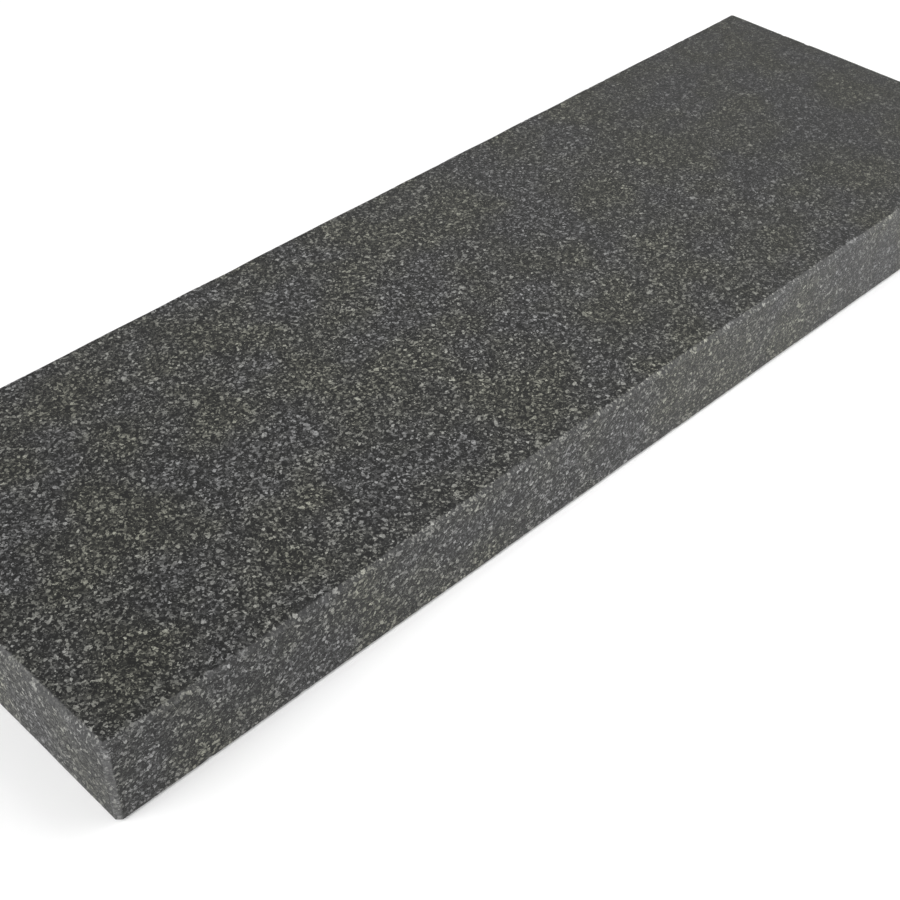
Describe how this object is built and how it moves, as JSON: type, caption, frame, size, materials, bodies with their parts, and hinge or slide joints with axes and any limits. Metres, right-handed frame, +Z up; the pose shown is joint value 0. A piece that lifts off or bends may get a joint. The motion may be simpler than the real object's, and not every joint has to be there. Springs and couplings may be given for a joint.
{
  "type": "granite slab",
  "caption": "Heavy rectangular slab of dark, fine-grained granite with small eased edges, used as a hard, flat, dead base for stamping, punching and pressing leather.",
  "frame": {"origin": "centre of the underside, where the slab rests on a bench", "axes": "+X along the length, +Y across the width, +Z up out of the working face"},
  "size_m": [1, 0.33, 0.07],
  "materials": {
    "granite": "dark grey granite, fine black, grey and pale specks; honed matt top, paler sawn sides and ground arrises"
  },
  "bodies": {
    "root": {"granite_slab": "granite"}
  },
  "joints": []
}
